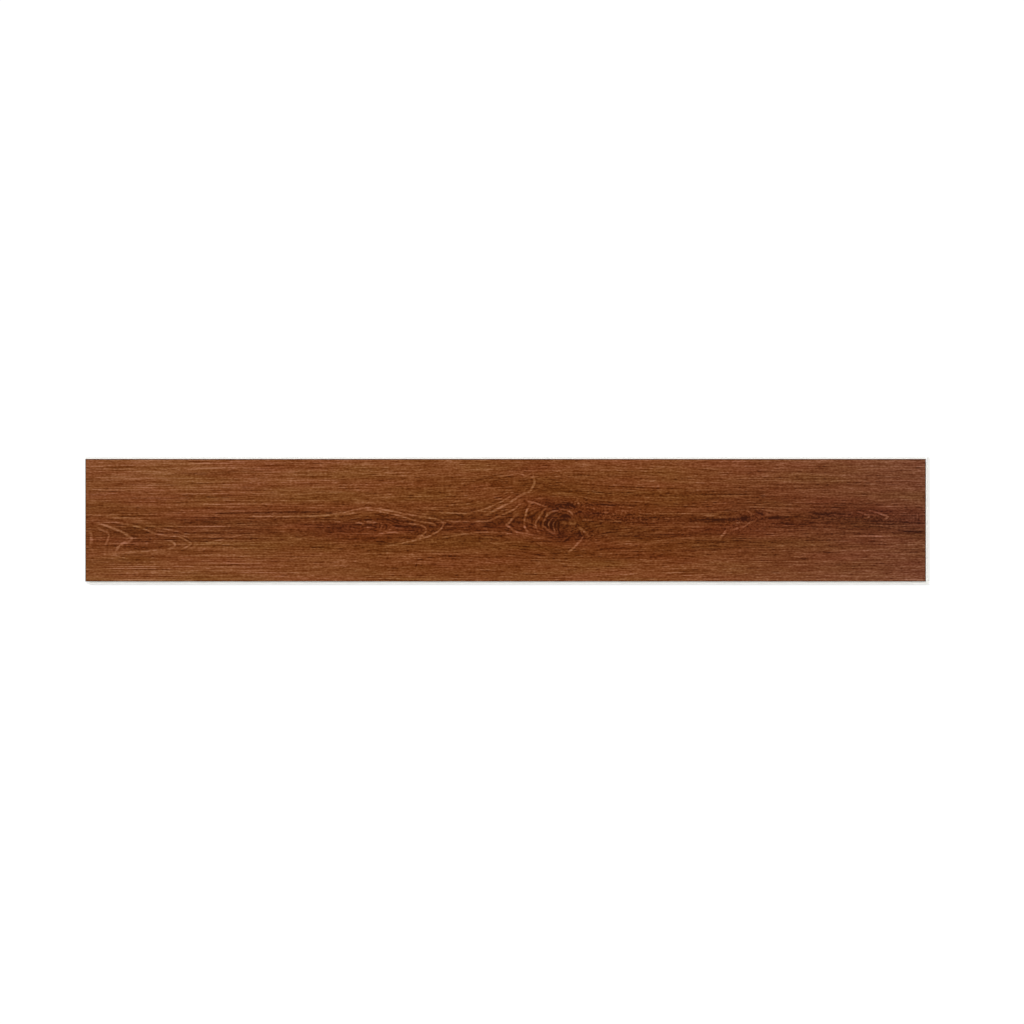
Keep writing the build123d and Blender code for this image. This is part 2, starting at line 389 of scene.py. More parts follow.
BURRS = tuple(starmap(Patch, (
    (32, 2, 26, 18, 0.4), (85, 22, 34, 9, 0.5), (105, 24, 14, 10, 0.5), (75, -2, 14, 16, 0.25),
    (102, -14, 28, 16, 0.5), (125, -22, 24, 8, 0.5), (150, 8, 45, 11, 0.8),
    (215, 4, 45, 12, 0.5), (350, 2, 45, 13, 0.7), (332, -15, 22, 8, 0.6),
    (470, 6, 30, 9, 0.5), (548, 3, 60, 12, 0.6), (-212, -7, 42, 9, 0.4),
    (-110, -16, 25, 8, 0.4), (-95, -33, 30, 7, 0.6), (-180, -58, 28, 14, 0.4),
)))
STRAIGHT_GRAIN = ((-610, 1.0), (-380, 1.0), (-250, 0.35), (-100, 0.1), (150, 0.15), (320, 0.35), (610, 0.5))
# Painted light and shade along the plank, added to the lightness: lightest at the left end, darkest just
# past the middle
PAINTED_LIGHT_ALONG_PLANK = (
    (-610, -0.03), (-490, 0.01), (-380, -0.025), (-270, -0.07), (-150, -0.095), (-50, -0.14), (60, -0.165),
    (170, -0.13), (400, -0.125), (610, -0.095),
)
# Painted sheen along the plank, which greys the ink: strongest at the right end
PAINTED_SHEEN_ALONG_PLANK = ((-610, 0.02), (-150, 0.0), (240, 0.01), (610, 0.17))
SWERVES = (Swerve(74, 2, 22, 2.0), Swerve(352, 4, 5, 3.5), Swerve(369, 9, 4, 3.0))


@dataclass(frozen=True)
class OakFigure:
    """Figure of the sawn oak face, which the print shows and the pressing follows; sizes in mm.

    The tuples of pairs give a value at places along the plank: the share of straight grain, painted light
    and shade that is added to the lightness (lightest at the left end, darkest just past the middle), and a
    painted sheen that greys the ink, most at the right end.
    """

    lines: tuple[GrainLine, ...] = CATHEDRAL + EYE + BULGE + MAIN_KNOT + TAIL + LONG_STREAKS
    patches: tuple[Patch, ...] = PATCHES
    swerves: tuple[Swerve, ...] = SWERVES
    burrs: tuple[Patch, ...] = BURRS
    straight: Pairs = STRAIGHT_GRAIN
    painted_light: Pairs = PAINTED_LIGHT_ALONG_PLANK
    painted_sheen: Pairs = PAINTED_SHEEN_ALONG_PLANK
    # Lightness of a full patch, and the share of grey in it
    patch_depth: float = 0.62
    stain: float = 0.14
    # Growth rings: how much longer than wide they run, how far the plate may miss a known ring, the rings
    # of the straight outer grain, and how many points are worked out at once
    stretch: float = 3.5
    give: float = 40.0
    rings_per_mm: float = 0.125
    heart_y: float = -8.0
    heart_ring: float = 1.0
    outer_rows: tuple[float, ...] = (-88.0, -68.0, 70.0, 88.0)
    outer_step: float = 100.0
    ring_step: float = 12.0
    half_length: float = 610.0
    batch: int = 8000
    # Lines: how far a line is felt and looked for, how long its ends thin out, the furthest distance that
    # is stored, in half widths, and how widely lines that run across the plank are counted
    vein_reach: float = 5.0
    vein_search: float = 12.5
    vein_taper: float = 8.0
    vein_far: float = 20.0
    crossing_reach: float = 8.0
    crossing_step: float = 4.0

    def _known_rings(self) -> tuple[np.ndarray, np.ndarray]:
        """Gather the points whose ring is known: those of the lines, and rows of straight outer grain.

        Returns:
            Points, one row of x and y each, and their rings.
        """
        points, rings = [], []
        for line in self.lines:
            if line.ring is not None:
                course = line.course(self.ring_step)
                points.append(course)
                rings.append(np.full(len(course), line.ring))
        columns = np.arange(-self.half_length, self.half_length + 1, self.outer_step)
        for y in self.outer_rows:
            points.append(np.column_stack([columns, np.full(len(columns), y)]))
            rings.append(np.full(len(columns), self.heart_ring + self.rings_per_mm * abs(y - self.heart_y)))
        return np.vstack(points), np.concatenate(rings)

    def rings(self, x: np.ndarray, y: np.ndarray) -> np.ndarray:
        """Ring at each point of the face, as a thin plate bent through the known rings.

        Args:
            x: Places along the plank.
            y: Places across the plank.

        Returns:
            Ring count outward from the heart, with fractions.
        """
        squash = np.array([1 / self.stretch, 1.0])
        known, levels = self._known_rings()
        known = known * squash

        def bend(a: np.ndarray, b: np.ndarray) -> np.ndarray:
            """Thin plate kernel between two sets of points."""
            square = ((a[:, None, :] - b[None, :, :]) ** 2).sum(-1)
            return square * np.log(square + TINY)

        count = len(known)
        flat = np.column_stack([np.ones(count), known])
        system = np.zeros((count + 3, count + 3))
        system[:count, :count] = bend(known, known) + self.give * np.eye(count)
        system[:count, count:] = flat
        system[count:, :count] = flat.T
        solved = np.linalg.solve(system, np.concatenate([levels, np.zeros(3)]))
        bends, level, slope = solved[:count], solved[count], solved[count + 1:]
        asked = np.column_stack([x, y]) * squash
        result = np.empty(len(asked))
        for start in range(0, len(asked), self.batch):
            some = asked[start:start + self.batch]
            result[start:start + self.batch] = bend(some, known) @ bends + level + some @ slope
        return result

    def veins(self, x: np.ndarray, y: np.ndarray) -> tuple[np.ndarray, np.ndarray]:
        """Distance to the nearest line of the figure, and how strong that line is there.

        The distance has a sign, so that it runs straight through zero between two points of the mesh. Every
        other line has its sign turned, so that between two neighbours it doesn't run through zero again.

        Args:
            x: Places along the plank.
            y: Places across the plank.

        Returns:
            Distance as a multiple of the line's half width, and strength from -1, dark, to 1, pale.
        """
        distance = np.full(len(x), np.inf)
        strength = np.zeros(len(x))
        for index, line in enumerate(self.lines):
            course = line.course()
            low, high = course.min(0) - self.vein_search, course.max(0) + self.vein_search
            near = np.flatnonzero((x > low[0]) & (x < high[0]) & (y > low[1]) & (y < high[1]))
            if not len(near):
                continue
            offset = np.column_stack([x[near], y[near]])[:, None, :] - course[None, :, :]
            square = (offset**2).sum(-1)
            nearest = square.argmin(1)
            rows = np.arange(len(near))
            tangent = np.gradient(course, axis=0)[nearest]
            away = offset[rows, nearest]
            side = np.sign(tangent[:, 0] * away[:, 1] - tangent[:, 1] * away[:, 0]) * (-1) ** index
            gap = np.sqrt(square[rows, nearest])
            run = np.minimum(nearest, len(course) - 1 - nearest)
            taper = min(self.vein_taper, len(course) / 4)
            fade = np.clip((run + 1) / taper, 0, 1) * np.exp(-((gap / self.vein_reach) ** 4))
            closer = gap / line.half_width < np.abs(distance[near])
            picked = near[closer]
            distance[picked] = (side * gap)[closer] / line.half_width
            strength[picked] = line.strength * fade[closer]
        return np.clip(distance, -self.vein_far, self.vein_far), strength

    def crossing(self, x: np.ndarray) -> np.ndarray:
        """How much the lines of the figure run across the plank near each place along it.

        Args:
            x: Places along the plank.

        Returns:
            Millimetres of line across the plank for each millimetre along it.
        """
        total = np.zeros(len(x))
        for line in self.lines:
            course = line.course(self.crossing_step)
            rises = np.abs(np.diff(course[:, 1]))
            gap = x[:, None] - (course[1:, 0] + course[:-1, 0]) / 2
            total += (rises * np.exp(-((gap / self.crossing_reach) ** 2))).sum(1)
        return total / (self.crossing_reach * math.sqrt(math.pi))

    def fields(self, x: np.ndarray, y: np.ndarray, rim: np.ndarray) -> dict[Field, np.ndarray]:
        """Work out every value that the points of the mesh carry.

        Args:
            x: Places along the plank.
            y: Places across the plank.
            rim: Distance in from the rim of the decor face.

        Returns:
            Values by their field.
        """
        distance, strength = self.veins(x, y)
        tone = sum(patch.spread(x, y) for patch in self.patches)
        burr = sum(patch.spread(x, y) for patch in self.burrs)
        # Share of straight grain, then painted light and shade, and painted sheen, along the plank
        straight, painted_light, painted_sheen = [
            np.interp(x, *zip(*pairs)) for pairs in (self.straight, self.painted_light, self.painted_sheen)
        ]
        return {
            Field.RING: self.rings(x, y), Field.VEIN: distance, Field.VEIN_STRENGTH: strength,
            Field.LIFT: sum(knot.lift(x, y) for knot in self.swerves), Field.BURR: np.clip(burr, 0, 1),
            Field.SHADE: self.patch_depth * tone + painted_light, Field.STRAIGHT: straight,
            Field.GREY: painted_sheen + self.stain * np.clip(-tone, 0, 1), Field.RIM: rim,
        }


@dataclass(frozen=True)
class Streaks:
    """Family of streaks: a noise drawn out along the plank, with cells of length by height.

    Sizes are in millimetres, but the height is in growth rings for a family that follows them. weight is
    how strongly the family shows where the grain is curly, and combed where it is straight. middle is the
    value that changes nothing. A family with a peak shows only what rises above the peak's foot.
    """

    length: float
    height: float
    detail: float
    seed: float
    weight: float = 1.0
    combed: float = 0.0
    middle: float = NOISE_MIDDLE
    roughness: float = 0.5
    peak: tuple[float, float] | None = None
    rise: str = "LINEAR"

    def pattern(self, tree: NodeTree, along: Value, across: Value) -> Node:
        """Build the pattern in a shader or a geometry tree.

        Args:
            tree: Node tree.
            along: Place along the plank.
            across: Place across the fibres.

        Returns:
            Node that gives values from 0 to 1.
        """
        x, y = [
            add_node(tree, "ShaderNodeMath", {0: place, 1: size}, operation="DIVIDE")
            for place, size in ((along, self.length), (across, self.height))
        ]
        place = add_node(tree, "ShaderNodeCombineXYZ", {"X": x, "Y": y, "Z": self.seed})
        noise = add_node(
            tree, "ShaderNodeTexNoise",
            {"Vector": place, "Scale": 1.0, "Detail": self.detail, "Roughness": self.roughness},
        )
        if self.peak is None:
            return noise
        foot, top = self.peak
        return add_node(
            tree, "ShaderNodeMapRange", {"Value": noise, "From Min": foot, "From Max": top},
            interpolation_type=self.rise,
        )

    def term(self, tree: NodeTree, along: Value, across: Value) -> Term:
        """Build the pattern, and give it with its weight and middle."""
        return self.pattern(tree, along, across), self.weight, self.middle


# Open grain of oak, shared by the pressing and the print. A streak is about 2 mm wide, because real oak
# pores of 0.2 to 0.4 mm are too fine to show. Pores are darker than the wood between.
OPEN_GRAIN = Streaks(
    55.0, 2.6, 2.0, 4.7, -0.16, middle=0.2, roughness=0.55, peak=(0.56, 0.74), rise="SMOOTHSTEP",
)


@dataclass(frozen=True)
class Finish:
    """Finish of one surface: what the real one is and how it was made.

    relief is the depth in millimetres of the fine texture, and bump the share of it that shows. Lacquer,
    paint and vinyl all have an IOR near 1.5.
    """

    name: str
    roughness: float
    specular: float
    bump: float = 0.0
    relief: float = 0.0
    ior: float = 1.5

    def look(self, tree: NodeTree) -> tuple[Node | tuple[float, ...], Value | None]:
        """Build what tells this finish from others.

        Args:
            tree: Shader node tree.

        Returns:
            The colour, and the height of the fine texture or None.
        """
        raise NotImplementedError(self.name)

    def material(self) -> Material:
        """Build the material.

        Returns:
            Material with one Principled shader.
        """
        material = bpy.data.materials.new(self.name)
        material.use_nodes = True
        tree = material.node_tree
        tree.nodes.clear()
        colour, height = self.look(tree)
        inputs = {
            "Base Color": colour, "Roughness": self.roughness, "Specular IOR Level": self.specular,
            "IOR": self.ior,
        }
        if height is not None:
            inputs["Normal"] = add_node(
                tree, "ShaderNodeBump",
                {"Strength": self.bump, "Distance": self.relief * MM, "Height": height},
            )
        shader = add_node(tree, "ShaderNodeBsdfPrincipled", inputs)
        add_node(tree, "ShaderNodeOutputMaterial", {"Surface": self.surface(tree, shader)})
        return material

    def surface(self, tree: NodeTree, shader: Node) -> Node:
        """Give the shader for the output, here the Principled one alone."""
        return shader

    @staticmethod
    def places(tree: NodeTree) -> tuple[NodeSocket, ...]:
        """Read Object coordinates in millimetres."""
        return millimetres(tree, add_node(tree, "ShaderNodeTexCoord").outputs["Object"])

    @staticmethod
    def ramp(tree: NodeTree, value: Value, stops: Stops) -> Node:
        """Turn a value into a colour by a row of stops.

        Args:
            tree: Shader node tree.
            value: Value to look up.
            stops: Place and hex colour of each stop.

        Returns:
            Node that gives the colour.
        """
        node = add_node(tree, "ShaderNodeValToRGB", {"Fac": value})
        elements = node.color_ramp.elements
        while len(elements) < len(stops):
            elements.new(stops[-1][0])
        for element, (position, colour) in zip(elements, stops):
            element.position = position
            element.color = linear(colour)
        return node


@dataclass(frozen=True)
class PrintedOak(Finish):
    """Oak decor print under a matt lacquered wear layer.

    The print is a dyed brown film, so its colour is flat ink with no depth. The lacquer is a matt
    polyurethane, which spreads the light and gives a soft sheen at a slant. Its specular is low, because
    more of it would wash out the darkest inks. Fine fibre is drawn 1 to 2 mm high, several times its real
    size, because finer would not show.
    """

    name: str = "printed_oak_film_matt_lacquer"
    roughness: float = 0.5
    specular: float = 0.06
    bump: float = 0.5
    relief: float = 0.1
    grain: Streaks = OPEN_GRAIN
    # Fibre, from short flecks to long streaks, then broad bands, and dark and pale ticks
    fibres: tuple[Streaks, ...] = (
        Streaks(3.6, 1.9, 0.0, 11, 0.68, 0.62), Streaks(11.0, 1.8, 1.0, 12, 0.97, 0.76),
        Streaks(32.0, 1.7, 1.0, 13, 0.95, 0.8), Streaks(120.0, 1.2, 1.0, 14, 0.6, 1.55),
        Streaks(280.0, 1.5, 1.0, 15, 0.4, 0.9), Streaks(70.0, 14.0, 2.0, 16, 0.3, 0.2),
        Streaks(280.0, 26.0, 1.0, 17, 0.25, 0.2),
        Streaks(19.0, 1.6, 0.0, 31, -0.25, -0.15, 0.08, peak=(0.62, 0.8)),
        Streaks(26.0, 1.5, 0.0, 32, 0.15, 0.05, 0.08, peak=(0.62, 0.8)),
    )
    # Late wood, which runs with the growth rings
    rings: tuple[Streaks, ...] = (Streaks(160.0, 0.19, 1.0, 21, 0.4), Streaks(420.0, 0.55, 2.0, 22, 0.3))
    # Ragged wood of the burrs: curls, and threads where a noise crosses its middle; fibre calms down there
    curls: Streaks = Streaks(3.4, 2.6, 1.0, 41, 1.85)
    threads: Streaks = Streaks(8.0, 4.5, 1.0, 43, 0.38, middle=0.25)
    thread_edge: tuple[float, float] = (0.006, 0.04)
    calming: float = 0.45
    # The outer rings are paler than the heart
    per_ring: float = 0.02
    middle_ring: float = 5.5
    # Drawn lines: a soft stroke and its border, in half widths, pushed about and thinned out along the run
    line_weight: float = 0.54
    line_border: float = 0.12
    stroke_edge: tuple[float, float] = (0.3, 1.6)
    border_edge: tuple[float, float] = (1.5, 3.4)
    wobble: Streaks = Streaks(12.0, 4.0, 2.0, 57, 0.9)
    wobble_range: tuple[float, float] = (0.3, 0.7)
    line_range: tuple[float, float] = (1.25, 0.55)
    # Inks by lightness; the foot and the span keep either end of the tone inside the row
    ink_foot: float = 0.16
    ink_span: float = 0.8
    inks: Stops = (
        (0.0, "#3E1600"), (0.16, "#4C1F01"), (0.28, "#5F2A03"), (0.468, "#703A14"), (0.56, "#79431E"),
        (0.652, "#814B26"), (0.84, "#905B37"), (1.0, "#A57050"),
    )
    # Stain, and a painted sheen that is strongest at the right end of the plank, grey the ink with a touch
    # of mauve, and broad patches are warmer or cooler
    stain_and_sheen_tint: str = "#FFD6FF"
    patches: Streaks = Streaks(140.0, 24.0, 2.0, 71)
    warmth: Stops = ((0.32, "#F7FBE2"), (0.5, "#FFFCF8"), (0.68, "#FFF1F5"))
    # Fine relief, in the same register: pores sink and pale fibre rises
    pore_sink: float = -0.6
    fibre_rise: float = 0.4

    def tone(
        self, tree: NodeTree, x: Value, y: Value, fibre: Value, pores: Value, carried: dict[Field, Value],
    ) -> Node:
        """Lightness of the print before it becomes ink.

        Args:
            tree: Shader node tree.
            x: Place along the plank.
            y: Place across the plank.
            fibre: Place across the fibres, bent round the knots.
            pores: Open grain.
            carried: Values that the mesh carries.

        Returns:
            Node that gives about 0 for the darkest ink and 1 for the palest.
        """
        ring, burr = carried[Field.RING], carried[Field.BURR]
        families = [(family.pattern(tree, x, fibre), family) for family in self.fibres]
        curly = weighted_sum(tree, [(noise, family.weight, family.middle) for noise, family in families])
        combed = weighted_sum(tree, [(noise, family.combed, family.middle) for noise, family in families])
        grain = add_node(
            tree, "ShaderNodeMix", {"Factor": carried[Field.STRAIGHT], "A": curly, "B": combed},
        )
        late_wood = weighted_sum(tree, [family.term(tree, x, ring) for family in self.rings])
        crossing = weighted_sum(tree, [(self.threads.pattern(tree, x, y), 1.0, NOISE_MIDDLE)])
        inner, outer = self.thread_edge
        thread = add_node(
            tree, "ShaderNodeMapRange",
            {"Value": add_node(tree, "ShaderNodeMath", {0: crossing}, operation="ABSOLUTE"),
             "From Min": inner, "From Max": outer, "To Min": 1.0, "To Max": 0.0},
        )
        ragged = weighted_sum(
            tree, [self.curls.term(tree, x, y), (thread, self.threads.weight, self.threads.middle)],
        )
        calm, clear = [
            weighted_sum(tree, [(burr, -share, 0.0)], start=1.0) for share in (self.calming, 1.0)
        ]
        shown = [
            add_node(tree, "ShaderNodeMath", {0: pattern, 1: share}, operation="MULTIPLY")
            for pattern, share in ((grain, calm), (late_wood, clear), (ragged, burr))
        ]
        # The shade field brings the painted light and shade along the plank into the tone
        return weighted_sum(tree, [
            *((pattern, 1.0, 0.0) for pattern in shown), (ring, self.per_ring, self.middle_ring),
            (carried[Field.SHADE], 1.0, 0.0), (pores, self.grain.weight, self.grain.middle),
        ], start=NOISE_MIDDLE)

    def lines(self, tree: NodeTree, x: Value, y: Value, carried: dict[Field, Value]) -> Node:
        """Lines of the figure: a soft stroke with a border of the other tone, uneven along its run.

        Args:
            tree: Shader node tree.
            x: Place along the plank.
            y: Place across the plank.
            carried: Values that the mesh carries.

        Returns:
            Node that gives what the lines add to the tone.
        """
        wobble = self.wobble.pattern(tree, x, y)
        shifted = weighted_sum(
            tree, [(carried[Field.VEIN], 1.0, 0.0), (wobble, self.wobble.weight, self.wobble.middle)],
        )
        away = add_node(tree, "ShaderNodeMath", {0: shifted}, operation="ABSOLUTE")
        stroke, border = [
            add_node(
                tree, "ShaderNodeMapRange",
                {"Value": away, "From Min": inner, "From Max": outer, "To Min": 1.0, "To Max": 0.0},
                interpolation_type="SMOOTHSTEP",
            )
            for inner, outer in (self.stroke_edge, self.border_edge)
        ]
        line = weighted_sum(
            tree, [(stroke, self.line_weight + self.line_border, 0.0), (border, -self.line_border, 0.0)],
        )
        (low, high), (most, least) = self.wobble_range, self.line_range
        uneven = add_node(
            tree, "ShaderNodeMapRange",
            {"Value": wobble, "From Min": low, "From Max": high, "To Min": most, "To Max": least},
        )
        for factor in (carried[Field.VEIN_STRENGTH], uneven):
            line = add_node(tree, "ShaderNodeMath", {0: line, 1: factor}, operation="MULTIPLY")
        return line

    def look(self, tree: NodeTree) -> tuple[Node, Node]:
        """Build the print, and the fine part of its pressing.

        Args:
            tree: Shader node tree.

        Returns:
            The ink, and the height of the fine grain.
        """
        x, y, _ = self.places(tree)
        carried = {
            value: add_node(tree, "ShaderNodeAttribute", attribute_name=value.value).outputs["Fac"]
            for value in Field if value is not Field.RIM
        }
        fibre = add_node(tree, "ShaderNodeMath", {0: y, 1: carried[Field.LIFT]}, operation="ADD")
        pores = self.grain.pattern(tree, x, fibre)
        tone = self.tone(tree, x, y, fibre, pores, carried)
        lines = self.lines(tree, x, y, carried)
        step = weighted_sum(tree, [(tone, self.ink_span, 0.0), (lines, self.ink_span, 0.0)], self.ink_foot)
        ink = self.ramp(tree, step, self.inks)
        bare = add_node(tree, "ShaderNodeRGBToBW", {0: ink})
        grey = add_node(
            tree, "ShaderNodeMix", {"Factor": 1.0, "A": bare, "B": linear(self.stain_and_sheen_tint)},
            data_type="RGBA", blend_type="MULTIPLY",
        )
        # Grey of the stains and of the painted sheen along the plank
        ink_with_stain_and_sheen = add_node(
            tree, "ShaderNodeMix", {"Factor": carried[Field.GREY], "A": ink, "B": grey}, data_type="RGBA",
        )
        warm = self.ramp(tree, self.patches.pattern(tree, x, y), self.warmth)
        colour = add_node(
            tree, "ShaderNodeMix", {"Factor": 1.0, "A": ink_with_stain_and_sheen, "B": warm},
            data_type="RGBA", blend_type="MULTIPLY",
        )
        return colour, weighted_sum(tree, [(pores, self.pore_sink, 0.0), (tone, self.fibre_rise, 0.0)])


@dataclass(frozen=True)
class BevelPaint(Finish):
    """Dark brown paint rolled onto the cut bevel, which frames the face with a thin even line."""

    name: str = "rolled_brown_bevel_paint"
    roughness: float = 0.5
    specular: float = 0.5
    mottle: Streaks = Streaks(14.0, 0.6, 3.0, 3)
    paint: Stops = ((0.3, "#43230F"), (0.7, "#5A3520"))

    def look(self, tree: NodeTree) -> tuple[Node, None]:
        """Build the paint, a little uneven along the edge.

        Args:
            tree: Shader node tree.

        Returns:
            The colour, and None because the paint is smooth.
        """
        x, y, z = self.places(tree)
        run = add_node(tree, "ShaderNodeMath", {0: x, 1: y}, operation="ADD")
        return self.ramp(tree, self.mottle.pattern(tree, run, z), self.paint), None


@dataclass(frozen=True)
class StoneCore(Finish):
    """Stone-plastic core: limestone powder bound with vinyl, cut by milling heads.

    Nearly white with mineral specks, fine scores that run with the edge, and a feathered overlap of the
    bevel paint on the top 0.3 mm of the edge. Specks are 0.45 mm, and scores 0.12 mm apart.
    """

    name: str = "milled_stone_plastic_core"
    roughness: float = 0.6
    specular: float = 0.4
    bump: float = 0.4
    relief: float = 0.04
    specks_per_mm: float = 2.2
    speck_detail: float = 3.0
    speck_weight: float = 0.7
    scores: Streaks = Streaks(30.0, 0.12, 2.0, 9, 0.3, middle=0.0)
    stone: Stops = ((0.34, "#DEDBD4"), (0.47, "#F7F6F2"))
    paint: str = "#573320"
    paint_foot: float = 4.32
    paint_fade: float = 0.08
    feather: Streaks = Streaks(4.0, 1.0, 3.0, 12, 0.35)

    def look(self, tree: NodeTree) -> tuple[Node, Node]:
        """Build the core with its specks, cutter scores and overlap of paint.

        Args:
            tree: Shader node tree.

        Returns:
            The colour, and the height of the milled texture.
        """
        x, y, z = self.places(tree)
        run = add_node(tree, "ShaderNodeMath", {0: x, 1: y}, operation="ADD")
        place = add_node(tree, "ShaderNodeCombineXYZ", {"X": x, "Y": y, "Z": z})
        specks = add_node(
            tree, "ShaderNodeTexNoise",
            {"Vector": place, "Scale": self.specks_per_mm, "Detail": self.speck_detail},
        )
        texture = weighted_sum(tree, [(specks, self.speck_weight, 0.0), self.scores.term(tree, run, z)])
        height = weighted_sum(tree, [(z, 1.0, 0.0), self.feather.term(tree, run, z)])
        painted = add_node(
            tree, "ShaderNodeMapRange",
            {"Value": height, "From Min": self.paint_foot, "From Max": self.paint_foot + self.paint_fade},
        )
        colour = add_node(
            tree, "ShaderNodeMix",
            {"Factor": painted, "A": self.ramp(tree, texture, self.stone), "B": linear(self.paint)},
            data_type="RGBA",
        )
        return colour, texture


@dataclass(frozen=True)
class CalenderedBack(Finish):
    """Back of the core as the calender rolls leave it: plain, pale and finely pebbled, 1.6 mm a pebble."""

    name: str = "calendered_stone_plastic_back"
    roughness: float = 0.55
    specular: float = 0.35
    bump: float = 0.5
    relief: float = 0.08
    pebbles: Streaks = Streaks(1.6, 1.6, 2.0, 5, 0.6)
    bands: Streaks = Streaks(220.0, 9.0, 1.0, 8, 0.4, middle=0.0)
    stone: Stops = ((0.36, "#B9B5AB"), (0.56, "#CBC8C0"))

    def look(self, tree: NodeTree) -> tuple[Node, Node]:
        """Build the pebbled back.

        Args:
            tree: Shader node tree.

        Returns:
            The colour, and the height of the pebbles.
        """
        x, y, _ = self.places(tree)
        pebbles = self.pebbles.pattern(tree, x, y)
        texture = weighted_sum(tree, [(pebbles, self.pebbles.weight, 0.0), self.bands.term(tree, x, y)])
        return self.ramp(tree, texture, self.stone), pebbles


@dataclass
class Pressing:
    """Geometry Nodes that press the grain into the decor face, as the engraved plate of the press does.

    Depths are in millimetres, and the pressing fades out over the rim.
    """

    grain: Streaks
    depth: float = 0.14
    wave: float = 0.08
    rim: float = 2.5
    swell: Streaks = Streaks(120.0, 0.8, 1.0, 17)

    def tree(self) -> NodeTree:
        """Build the node tree.

        Returns:
            Tree with inputs for the depths, the rim and the finish.
        """
        tree = bpy.data.node_groups.new("pressed_grain", "GeometryNodeTree")
        ports = tree.interface
        ports.new_socket("Geometry", in_out="INPUT", socket_type="NodeSocketGeometry")
        for name in ("Depth", "Wave", "Rim"):
            ports.new_socket(name, in_out="INPUT", socket_type="NodeSocketFloat")
        ports.new_socket("Finish", in_out="INPUT", socket_type="NodeSocketMaterial")
        ports.new_socket("Geometry", in_out="OUTPUT", socket_type="NodeSocketGeometry")
        given = add_node(tree, "NodeGroupInput").outputs

        x, y, _ = millimetres(tree, add_node(tree, "GeometryNodeInputPosition"))
        lift, ring, rim = [
            add_node(tree, "GeometryNodeInputNamedAttribute", {"Name": name.value}, data_type="FLOAT")
            for name in (Field.LIFT, Field.RING, Field.RIM)
        ]
        fibre = add_node(tree, "ShaderNodeMath", {0: y, 1: lift}, operation="ADD")
        pores = self.grain.pattern(tree, x, fibre)
        pressed = add_node(tree, "ShaderNodeMath", {0: pores, 1: given["Depth"]}, operation="MULTIPLY")
        sunk = add_node(
            tree, "ShaderNodeMath", {0: self.swell.pattern(tree, x, ring), 1: given["Wave"], 2: pressed},
            operation="MULTIPLY_ADD",
        )
        inside = add_node(
            tree, "ShaderNodeMapRange", {"Value": rim, "From Max": given["Rim"], "To Max": -MM},
            interpolation_type="SMOOTHSTEP",
        )
        drop = add_node(tree, "ShaderNodeMath", {0: sunk, 1: inside}, operation="MULTIPLY")
        moved = add_node(
            tree, "GeometryNodeSetPosition",
            {"Geometry": given["Geometry"], "Offset": add_node(tree, "ShaderNodeCombineXYZ", {"Z": drop})},
        )
        is_decor = add_node(
            tree, "FunctionNodeCompare",
            {"A": add_node(tree, "GeometryNodeInputMaterialIndex"), "B": FacePart.DECOR.value},
            data_type="INT", operation="EQUAL",
        )
        real = add_node(tree, "GeometryNodeRealizeInstances", {"Geometry": moved})
        dressed = add_node(
            tree, "GeometryNodeSetMaterial",
            {"Geometry": real, "Selection": is_decor, "Material": given["Finish"]},
        )
        add_node(tree, "NodeGroupOutput", {"Geometry": dressed})
        return tree

    def press(self, piece: Object, finish: Material) -> None:
        """Press the piece's decor face and leave it a plain mesh.

        Args:
            piece: Object whose mesh carries the fields of the figure.
            finish: Material of the decor face.
        """
        tree = self.tree()
        modifier = piece.modifiers.new("pressed_grain", "NODES")
        modifier.node_group = tree
        wanted = {"Depth": self.depth, "Wave": self.wave, "Rim": self.rim, "Finish": finish}
        for item in tree.interface.items_tree:
            if item.in_out == "INPUT" and item.name in wanted:
                modifier[item.identifier] = wanted[item.name]
        seen = piece.evaluated_get(bpy.context.evaluated_depsgraph_get())
        plain = bpy.data.meshes.new_from_object(seen)
        piece.modifiers.clear()
        old, piece.data = piece.data, plain
        bpy.data.meshes.remove(old)


